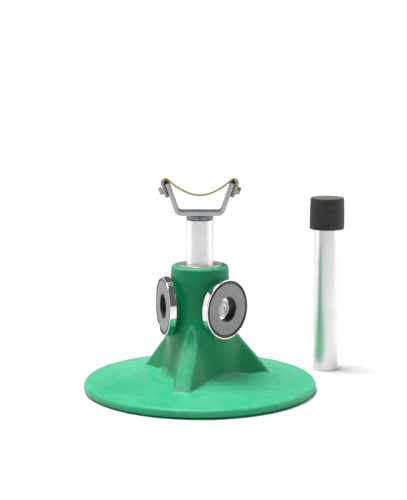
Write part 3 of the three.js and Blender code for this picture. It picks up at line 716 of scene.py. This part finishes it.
c0, t0 = CAP_TOP - CAP_H, CAP_TOP
outside = [(25.0, c0), (25.3, c0 + 0.9), (25.45, c0 + 2.4), (25.25, c0 + 2.8), (25.25, c0 + 3.2), (25.45, c0 + 3.7), (25.5, c0 + 9),
           (25.48, c0 + 16), (25.35, c0 + 24), (25.1, c0 + 31), (24.85, t0 - 9), (24.65, t0 - 3.5), (24.5, t0 - 1.3), (24.1, t0 - 0.45),
           (23.4, t0 - 0.05), (22.6, t0), (21.8, t0 - 0.22), (21.2, t0 - 0.3), (10, t0 - 0.2)]
cap = lathe("spare_rubber_cap", [(0, SPARE_LEN + GAP), (19.35, SPARE_LEN + GAP), (19.35, c0 + 1.2), (19.9, c0)] + outside + [(0, t0 - 0.2)], 128, cap_wobble, 60)
top_dust_and_light_layer(cap, 0.55, 0.9)
place(cap, Matrix.Translation((SPARE[0] * MM, SPARE[1] * MM, 0)))
dress(cap, "cap_rubber", "spare_post", "rubber", "spare_post_cap")

# ------------------------------------------------------------------ weld bead under the yoke
Z0, Z1 = 240.3, YOKE_Z - BAR_T / 2 - GAP


def weld_wobble(r, z, a):
    if r < 12:
        return r, z
    u = (z - Z0) / (Z1 - Z0)
    lap = (a * 21 / (2 * math.pi) + 0.35 * math.sin(3 * a) + 0.45 * u) % 1.0        # overlapping ripples
    k = math.sin(math.pi * u) * (0.50 * (1 - lap) ** 1.6 + 0.45 * noise.noise(Vector((math.cos(a) * 3, math.sin(a) * 3, z * 0.4))))
    return r + k, z


bead = [(0, Z0)] + [(16.4, Z0)] + [(17.2 + 1.15 * math.sin(math.pi * (0.06 + 0.80 * t)) ** 0.8, Z0 + (Z1 - Z0) * t) for t in np.linspace(0, 1, 15)] + [(16.4, Z1), (0, Z1)]
weld_ob = lathe("weld_fillet", bead, 252, weld_wobble, 60)
# Brown at the bead's lower edge, and lighter and browner towards the sides (large |x|).
attribute(weld_ob, "heat", lambda x, y, z: float(0.8 * smooth(Z0 + 2.0, Z0 + 0.3, z) + 0.35 * smooth(13, 19, abs(x))))
dress(weld_ob, "weld", "cradle", "galvanised", "weld_bead")

# ------------------------------------------------------------------ yoke
UP = (-math.sin(LEAN), math.cos(LEAN))
OUT = (-math.cos(LEAN), -math.sin(LEAN))
END_LEN = (ARM_END_Z - YOKE_Z) / UP[1]
ARM_END = (-YOKE_CORNER + UP[0] * END_LEN, ARM_END_Z)


def arm_point(n, s):
    return (ARM_END[0] + OUT[0] * n + UP[0] * s, ARM_END[1] + OUT[1] * n + UP[1] * s)


def resample(pts, step):
    p = np.array(pts, float)
    d = np.concatenate([[0], np.cumsum(np.linalg.norm(np.diff(p, axis=0), axis=1))])
    n = max(2, int(round(d[-1] / step)))
    s = np.linspace(0, d[-1], n + 1)
    return np.stack([np.interp(s, d, p[:, i]) for i in range(p.shape[1])], 1), d[-1]


def sweep(name, line, section, y_noise=0.0, end_round=0.0, sharp=50, detail=None):
    """section: [n, y] round the strip, n along the line's left normal; line: [x, z] in mm."""
    line = np.array(line, float)
    tan = np.gradient(line, axis=0)
    tan /= np.linalg.norm(tan, axis=1)[:, None]
    nor = np.stack([-tan[:, 1], tan[:, 0]], 1)
    loops, total = [], len(line)
    stations = list(range(total))
    for i in stations:
        s_end = min(np.linalg.norm(line[i] - line[0]), np.linalg.norm(line[i] - line[-1]))
        shrink = 0.0
        if end_round and s_end < end_round:
            shrink = end_round - math.sqrt(max(0.0, end_round ** 2 - (end_round - s_end) ** 2))
        loop = []
        for n, y in section:
            nn, yy = n - math.copysign(min(abs(n), shrink), n), y - math.copysign(min(abs(y), shrink), y)
            if detail:
                nn = nn + detail(i, n, y)
            x, z = line[i] + nor[i] * nn
            loop.append((x, yy, z))
        loops.append(loop)
    verts, faces = grid_solid(loops, cap=True)
    return new_object(name, verts, faces, sharp)


def rounded_section(t, w, r, ny, nt=4, corner=5):
    pts = rounded([(-t / 2, -w / 2), (t / 2, -w / 2), (t / 2, w / 2), (-t / 2, w / 2)], r, corner)
    out = []
    for i, p in enumerate(pts):
        q = pts[(i + 1) % len(pts)]
        out.append(p)
        d = math.dist(p, q)
        k = int(d // (w / ny)) if d > w / 4 else (nt if d > t / 3 else 0)
        for j in range(1, k):
            out.append((p[0] + (q[0] - p[0]) * j / k, p[1] + (q[1] - p[1]) * j / k))
    return out


turn = math.pi / 2 - LEAN
tangent = YOKE_BEND * math.tan(turn / 2)
ccx, ccz = -YOKE_CORNER + tangent, YOKE_Z + YOKE_BEND
a_from = math.atan2(OUT[1], OUT[0]) + 2 * math.pi
half_line = [ARM_END] + [(ccx + YOKE_BEND * math.cos(a), ccz + YOKE_BEND * math.sin(a)) for a in np.linspace(a_from, 1.5 * math.pi, 22)] + [(0, YOKE_Z)]
yoke_line = half_line + [(-x, z) for x, z in half_line[::-1][1:]]
yoke_pts, _ = resample(yoke_line, 1.1)
ends0 = [yoke_pts[0] + (yoke_pts[1] - yoke_pts[0]) * t for t in (0, 0.12, 0.3, 0.6)]
ends1 = [yoke_pts[-1] + (yoke_pts[-2] - yoke_pts[-1]) * t for t in (0.6, 0.3, 0.12, 0)]
yoke_pts = np.array(ends0 + list(yoke_pts[1:-1]) + ends1)


def zinc_relief(i, n, y):
    s = yoke_pts[min(i, len(yoke_pts) - 1)]
    return 0.10 * noise.noise(Vector((s[0] * 0.5, y * 0.5, s[1] * 0.5 + n))) + 0.05 * noise.noise(Vector((s[0] * 1.3, y * 1.3, s[1] * 1.3 - n)))


yoke = sweep("yoke_bent_bar", yoke_pts, rounded_section(BAR_T, BAR_W, 0.9, 30), end_round=0.8, sharp=50, detail=zinc_relief)
for side in (1, -1):
    x, z = arm_point(0, BOLT_S)
    cut = lathe("cut", [(0, -9), (3.3, -9), (3.3, 9), (0, 9)], 32)
    cut.data.transform((Matrix.Identity(4) if side > 0 else Matrix.Rotation(math.pi, 4, "Z"))
                       @ Matrix.Translation((x * MM, 0, z * MM)) @ Matrix.Rotation(-math.pi / 2 - LEAN, 4, "Y"))
    boolean(yoke, cut, "DIFFERENCE")
yoke.data.shade_smooth()
yoke.data.set_sharp_from_angle(angle=math.radians(42))
dress(yoke, "galv", "cradle", "galvanised", "yoke")

# ------------------------------------------------------------------ rubber pads on the arm ends
HEAD_N0, HEAD_N1 = -BAR_T / 2, BAR_T / 2 + GAP + PAD_T
HEAD_R, HEAD_NC, HEAD_SC = (HEAD_N1 - HEAD_N0) / 2, (HEAD_N0 + HEAD_N1) / 2, 2.05
PAD_END, STRAP_END = -17.3, -17.6
outline = [(HEAD_N0, GAP), (HEAD_N0, HEAD_SC)]
outline += [(HEAD_NC + HEAD_R * math.cos(a), HEAD_SC + HEAD_R * math.sin(a)) for a in np.linspace(math.pi, 0, 17)[1:-1]]
outline += [(HEAD_N1, HEAD_SC), (HEAD_N1, PAD_END), (BAR_T / 2 + GAP, PAD_END), (BAR_T / 2 + GAP, GAP)]
for side, name in ((1, "left"), (-1, "right")):
    prof = [arm_point(n, s) for n, s in outline]
    cx, cz = np.mean(prof, axis=0)
    loops = []
    for y, inset in ((-18.5, 0.45), (-18.35, 0.15), (-18.0, 0.0), (-9, 0), (0, 0), (9, 0), (18.0, 0.0), (18.35, 0.15), (18.5, 0.45)):
        loop = []
        for k, p in enumerate(prof):
            a, b = np.array(prof[k - 1]), np.array(prof[(k + 1) % len(prof)])
            t = (b - a) / (np.linalg.norm(b - a) + 1e-9)
            q = np.array(p) + np.array([t[1], -t[0]]) * inset
            loop.append((q[0], y, q[1]))
        loops.append(loop)
    verts, faces = grid_solid(loops)
    pad = new_object(f"rubber_pad_{name}", verts, faces, 40)
    x, z = arm_point(0, BOLT_S)
    cut = lathe("cut", [(0, -9), (3.35, -9), (3.35, 9), (0, 9)], 32)
    cut.data.transform(Matrix.Translation((x * MM, 0, z * MM)) @ Matrix.Rotation(-math.pi / 2 - LEAN, 4, "Y"))
    boolean(pad, cut, "DIFFERENCE")
    pad.data.shade_smooth()
    pad.data.set_sharp_from_angle(angle=math.radians(40))
    if side < 0:
        pad.data.transform(Matrix.Rotation(math.pi, 4, "Z"))
    dress(pad, "rubber", "cradle", "rubber", f"arm_pad_{name}")

# ------------------------------------------------------------------ webbing sling
strap_n = HEAD_N1 + GAP + STRAP_T / 2
wrap_r = HEAD_R + GAP + STRAP_T / 2
wx, wz = arm_point(HEAD_NC, HEAD_SC)
half = [arm_point(strap_n, STRAP_END + (HEAD_SC - STRAP_END) * i / 4) for i in range(5)]
half += [(wx + wrap_r * math.cos(a), wz + wrap_r * math.sin(a)) for a in np.linspace(math.atan2(OUT[1], OUT[0]) + 2 * math.pi, math.radians(43), 19)[1:]]
top = pchip([(0, 277.5), (11.0, 279.4), (20.4, 283.3), (26.6, 286.6), (32.0, 290.0), (36.6, 293.6), (41.5, 298.05)])
for x in np.linspace(40.6, 0, 40):
    z, slope = top(x), (top(x + 0.05) - top(max(x - 0.05, 0))) / (0.05 + min(0.05, x))
    slope = 0.0 if x == 0 else slope
    l = math.hypot(1, slope)
    # the left half: mirror x, centre line half a thickness below the top face
    half.append((-(x + slope / l * STRAP_T / 2) if x > 0 else 0.0, z - STRAP_T / 2 / l))
strap_line = half + [(-x, z) for x, z in half[::-1][1:]]
p = np.array(strap_line)
for _ in range(3):                                                                    # take out the small kinks
    p[1:-1] = (p[:-2] + 2 * p[1:-1] + p[2:]) / 4
strap_pts, strap_len = resample(p, 0.42)
SHEET_T, SHEET_W = 2.3, 35.4
PITCH_W, PITCH_L = 1.55, 1.75
ys = list(np.arange(-SHEET_W / 2, SHEET_W / 2 + 1e-6, SHEET_W / 92))
section = [(-SHEET_T / 2, y) for y in ys] + [(SHEET_T / 2, y) for y in ys[::-1]]


def weave(i, n, y):
    s = i * 0.42
    u, v = y / PITCH_W, s / PITCH_L
    over = math.cos(math.pi * (math.floor(u) + v))                                   # alternate warp yarns rise in turn
    cross = abs(math.sin(math.pi * (u - math.floor(u)))) ** 0.7
    h = (0.30 * cross * (0.55 + 0.45 * over) - 0.10) * min(1.0, (SHEET_W / 2 - abs(y)) / 0.8 + 0.2)
    return math.copysign(h, n)


strap = sweep("sling_webbing", strap_pts, section, sharp=80, detail=weave)
# The weave's height, which the fabric paints darker where low, as shade between the yarns.
layer = strap.data.color_attributes.new("weave_shade", "FLOAT_COLOR", "POINT")
ns = len(section)
for idx, c in enumerate(layer.data):
    i, j = divmod(idx, ns)
    if i < len(strap_pts):
        h = abs(weave(i, 1.0, section[j][1]) + 0.10) / 0.30
        c.color = (h, h, h, 1)
    else:
        c.color = (0.5, 0.5, 0.5, 1)
dress(strap, "webbing", "cradle", "webbing", "sling")


def cord_mesh(name, path, radius, sides=8):
    path = np.array(path, float)
    radius = np.broadcast_to(radius, len(path))
    tan = np.gradient(path, axis=0)
    tan /= np.linalg.norm(tan, axis=1)[:, None]
    side = np.array([0.0, 1.0, 0.0])
    loops = []
    for q, t, rad in zip(path, tan, radius):
        a = side - t * float(side @ t)
        a /= np.linalg.norm(a)
        b = np.cross(t, a)
        loops.append([tuple(q + rad * (a * math.cos(w) + b * math.sin(w))) for w in np.linspace(0, 2 * math.pi, sides, endpoint=False)])
    verts, faces = grid_solid(loops)
    ob = new_object(name, verts, faces, 80)
    # Stripes along each cord, which the fabric paints darker where low.
    attribute(ob, "weave_shade", lambda x, y, z: float(0.55 + 0.45 * math.sin((x + z) * 7.0)))
    return ob


tan = np.gradient(strap_pts, axis=0)
tan /= np.linalg.norm(tan, axis=1)[:, None]
nor = np.stack([-tan[:, 1], tan[:, 0]], 1)
for face, y0 in (("front", -1), ("rear", 1)):
    # the strap's left normal points to its outer, upper face on the way from left to right
    path = [(q[0] + m[0] * 0.62, y0 * 18.05, q[1] + m[1] * 0.62) for q, m in zip(strap_pts, nor)]
    edge = cord_mesh(f"sling_edge_{face}", path[::2], 0.72, 10)
    dress(edge, "yellow", "cradle", "webbing")
    for k, mat in enumerate(("twist_dark", "twist_pale")):
        path, girth = [], []
        for i, (q, m) in enumerate(zip(strap_pts, nor)):
            g = smooth(31, 26, min(i, len(strap_pts) - 1 - i) * 0.42)
            w = i * 0.42 * 2 * math.pi / 3.9 + math.pi * k
            off = -0.82 - 0.62 * g + (0.42 + 0.52 * g) * math.cos(w)
            path.append((q[0] + m[0] * off, y0 * (17.98 + 1.30 * g + (0.42 + 0.10 * g) * math.sin(w)), q[1] + m[1] * off))
            girth.append(0.46 + 0.26 * g)
        strand = cord_mesh(f"sling_twist_{face}_{k + 1}", path, girth, 7)
        dress(strand, mat, "cradle", "webbing")


# ------------------------------------------------------------------ sling bolts and washers
def hex_head(name, af, z0, z1, shank_r=3.0, shank_z=-2.2, segs=96):
    def hex_r(a):
        m = (a + math.pi / 6) % (math.pi / 3) - math.pi / 6
        return af / 2 / math.cos(m)
    rows = []
    z, k = shank_z + 0.4, 0
    rows.append([(shank_r - 0.5, shank_z)] * segs)
    while z < z0 - 1.2:
        rows.append([(shank_r - (0.0 if k % 2 == 0 else 0.42), z)] * segs)
        z, k = z + 0.4, k + 1
    rows.append([(shank_r, z0 - 0.05)] * segs)
    angles = [2 * math.pi * j / segs for j in range(segs)]
    cone_top = af / 2 * 0.93
    for zz in (z0, z0 + 0.12):
        rows.append([(min(hex_r(a), af / 2 * 1.02 + (zz - z0) * 6), zz) for a in angles])
    for zz in np.linspace(z0 + 0.25, z1 - 0.12, 12):
        rows.append([(min(hex_r(a), cone_top + (z1 - zz) * 1.75), zz) for a in angles])
    rows.append([(cone_top, z1)] * segs)
    rows.append([(cone_top * 0.5, z1)] * segs)
    loops = [[(r * math.cos(a), r * math.sin(a), zz) for (r, zz), a in zip(row, angles)] for row in rows]
    verts, faces = grid_solid(loops)
    return new_object(name, verts, faces, 30)


for side, name in ((1, "left"), (-1, "right")):
    x, z = arm_point(0, BOLT_S)
    at = ((Matrix.Identity(4) if side > 0 else Matrix.Rotation(math.pi, 4, "Z"))
          @ Matrix.Translation((x * MM, 0, z * MM)) @ Matrix.Rotation(-math.pi / 2 - LEAN, 4, "Y"))
    face = strap_n + STRAP_T / 2
    washer = lathe(f"sling_flat_washer_{name}", rounded([(3.35, face + GAP), (7, face + GAP), (7, face + GAP + 1.4), (3.35, face + GAP + 1.4)], 0.35, 3), 64)
    dress(place(washer, at), "bolt_zinc", "cradle", "zinc_plate", f"sling_washer_{name}")
    h0 = face + 2 * GAP + 1.4
    bolt = hex_head(f"sling_hex_bolt_{name}", 10, h0, h0 + 4)
    dress(place(bolt, at), "bolt_zinc", "cradle", "zinc_plate", f"sling_bolt_{name}")

# ------------------------------------------------------------------ underside plate and its screws
plate = lathe("socket_bottom_plate", rounded([(0, 0), (44, 0), (44, 4), (0, 4)], [0, 0.5, 0.4, 0], 3), 128)
holes, screw_at = [], []
for a in (-90, 30, 150):
    t = Matrix.Rotation(math.radians(a - 90), 4, "Z") @ Matrix.Translation((36.5 * MM, 0, 0))
    screw_at.append(t)
    holes.append(place(lathe("h", [(0, -1), (6.6, -1), (6.6, 0.4), (2.9, 3.4), (2.9, 8), (0, 8)], 48), t))
boolean(plate, join("holes", holes), "DIFFERENCE")
plate.data.shade_smooth()
plate.data.set_sharp_from_angle(angle=math.radians(35))
dress(plate, "steel", "base", "steel", "bottom_plate")
for i, t in enumerate(screw_at):
    prof = [(0, 0.25), (5.2, 0.25), (5.4, 0.45), (5.4, 0.7), (2.5, 3.6)]
    z = 4.4
    while z < 22.6:
        prof += [(2.5, z), (1.95, z + 0.5)]
        z += 1.1
    s = lathe(f"plate_countersunk_{i + 1}", prof + [(0.4, 23.9), (0, 24)], 48, None, 32)
    for turn_z in (15, 105):
        c = lathe("c", [(0, -3.2), (0.6, -3.2), (0.6, 3.2), (0, 3.2)], 4)
        c.data.transform(Matrix.Translation((0, 0, 0.2 * MM)) @ Matrix.Rotation(math.radians(turn_z), 4, "Z")
                         @ Matrix.Diagonal((1, 1, 2.2, 1)) @ Matrix.Rotation(math.radians(90), 4, "X") @ Matrix.Rotation(math.radians(45), 4, "Z"))
        boolean(s, c, "DIFFERENCE")
    s.data.shade_smooth()
    s.data.set_sharp_from_angle(angle=math.radians(32))
    dress(place(s, t), "zinc", "base", "zinc_plate", f"plate_screw_{i + 1}")

# ------------------------------------------------------------------ CAD pieces that stay, all inside the neck or the tubes
KEEP = {"socket_tube": "steel", "sleeve_plug": "steel", "height_stem": "steel", "stem_screw": "zinc", "height_peg": "steel",
        "spare_post_peg": "steel", "upper_bush": "nylon", "lower_bush": "nylon", "magnet_insert_right": "brass",
        "magnet_insert_rear": "brass", "magnet_insert_left": "brass"}
for node, material in KEEP.items():
    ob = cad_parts.get(node)
    if ob is not None:
        ob.data.materials.clear()
        ob.data.materials.append(M[material])

# ------------------------------------------------------------------ floor, light
# a pale floor that sweeps up gently all round, as a studio's does
rings = [(FLOOR_FLAT, 0.0)] + [(FLOOR_FLAT + FLOOR_ARC * math.sin(a), FLOOR_ARC * (1 - math.cos(a))) for a in np.radians(np.arange(2, 33, 2))]
turns, floor_verts, floor_faces = 96, [(0.0, 0.0, 0.0)], []
for r, z in rings:
    floor_verts += [(r * math.cos(2 * math.pi * j / turns), r * math.sin(2 * math.pi * j / turns), z) for j in range(turns)]
floor_faces += [(0, 1 + j, 1 + (j + 1) % turns) for j in range(turns)]
for i in range(len(rings) - 1):
    a = 1 + i * turns
    floor_faces += [(a + j, a + turns + j, a + turns + (j + 1) % turns, a + (j + 1) % turns) for j in range(turns)]
floor_mesh = bpy.data.meshes.new("floor")
floor_mesh.from_pydata(floor_verts, [], floor_faces)
floor_mesh.shade_smooth()
floor = bpy.data.objects.new("floor", floor_mesh)
scene.collection.objects.link(floor)
floor.location = (0, 0, -0.0004)
fm = Nodes("floor_white")
floor.data.materials.append(fm.set(Base_Color=(0.76, 0.76, 0.76), Roughness=0.9, Specular_IOR_Level=0.1))
floor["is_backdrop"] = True

world = bpy.data.worlds.new("studio")
scene.world = world
world.use_nodes = True
world.node_tree.nodes["Background"].inputs["Color"].default_value = (1, 1, 1, 1)
world.node_tree.nodes["Background"].inputs["Strength"].default_value = WORLD


def area(name, where, target, size, power):
    d = bpy.data.lights.new(name, "AREA")
    d.shape = "RECTANGLE"
    d.size, d.size_y = size
    d.energy = power
    o = bpy.data.objects.new(name, d)
    scene.collection.objects.link(o)
    o.location = where
    o.rotation_euler = (Vector(target) - Vector(where)).to_track_quat("-Z", "Y").to_euler()
    return o


sun_data = bpy.data.lights.new("overhead", "SUN")
sun_data.energy, sun_data.angle = SUN, math.radians(32)
sun = bpy.data.objects.new("overhead", sun_data)
scene.collection.objects.link(sun)
sun.rotation_euler = (Vector((0, 0, 0)) - Vector((-0.22, 0.05, 1.0))).to_track_quat("-Z", "Y").to_euler()
area("panel_left", (-1.15, 0.22, 0.55), (0, 0, 0.14), (1.0, 1.0), PANEL_LEFT)
area("panel_right", (1.15, 0.30, 0.6), (0, 0, 0.14), (1.0, 1.0), PANEL_RIGHT)

# ------------------------------------------------------------------ sizes, and the end
a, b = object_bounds()
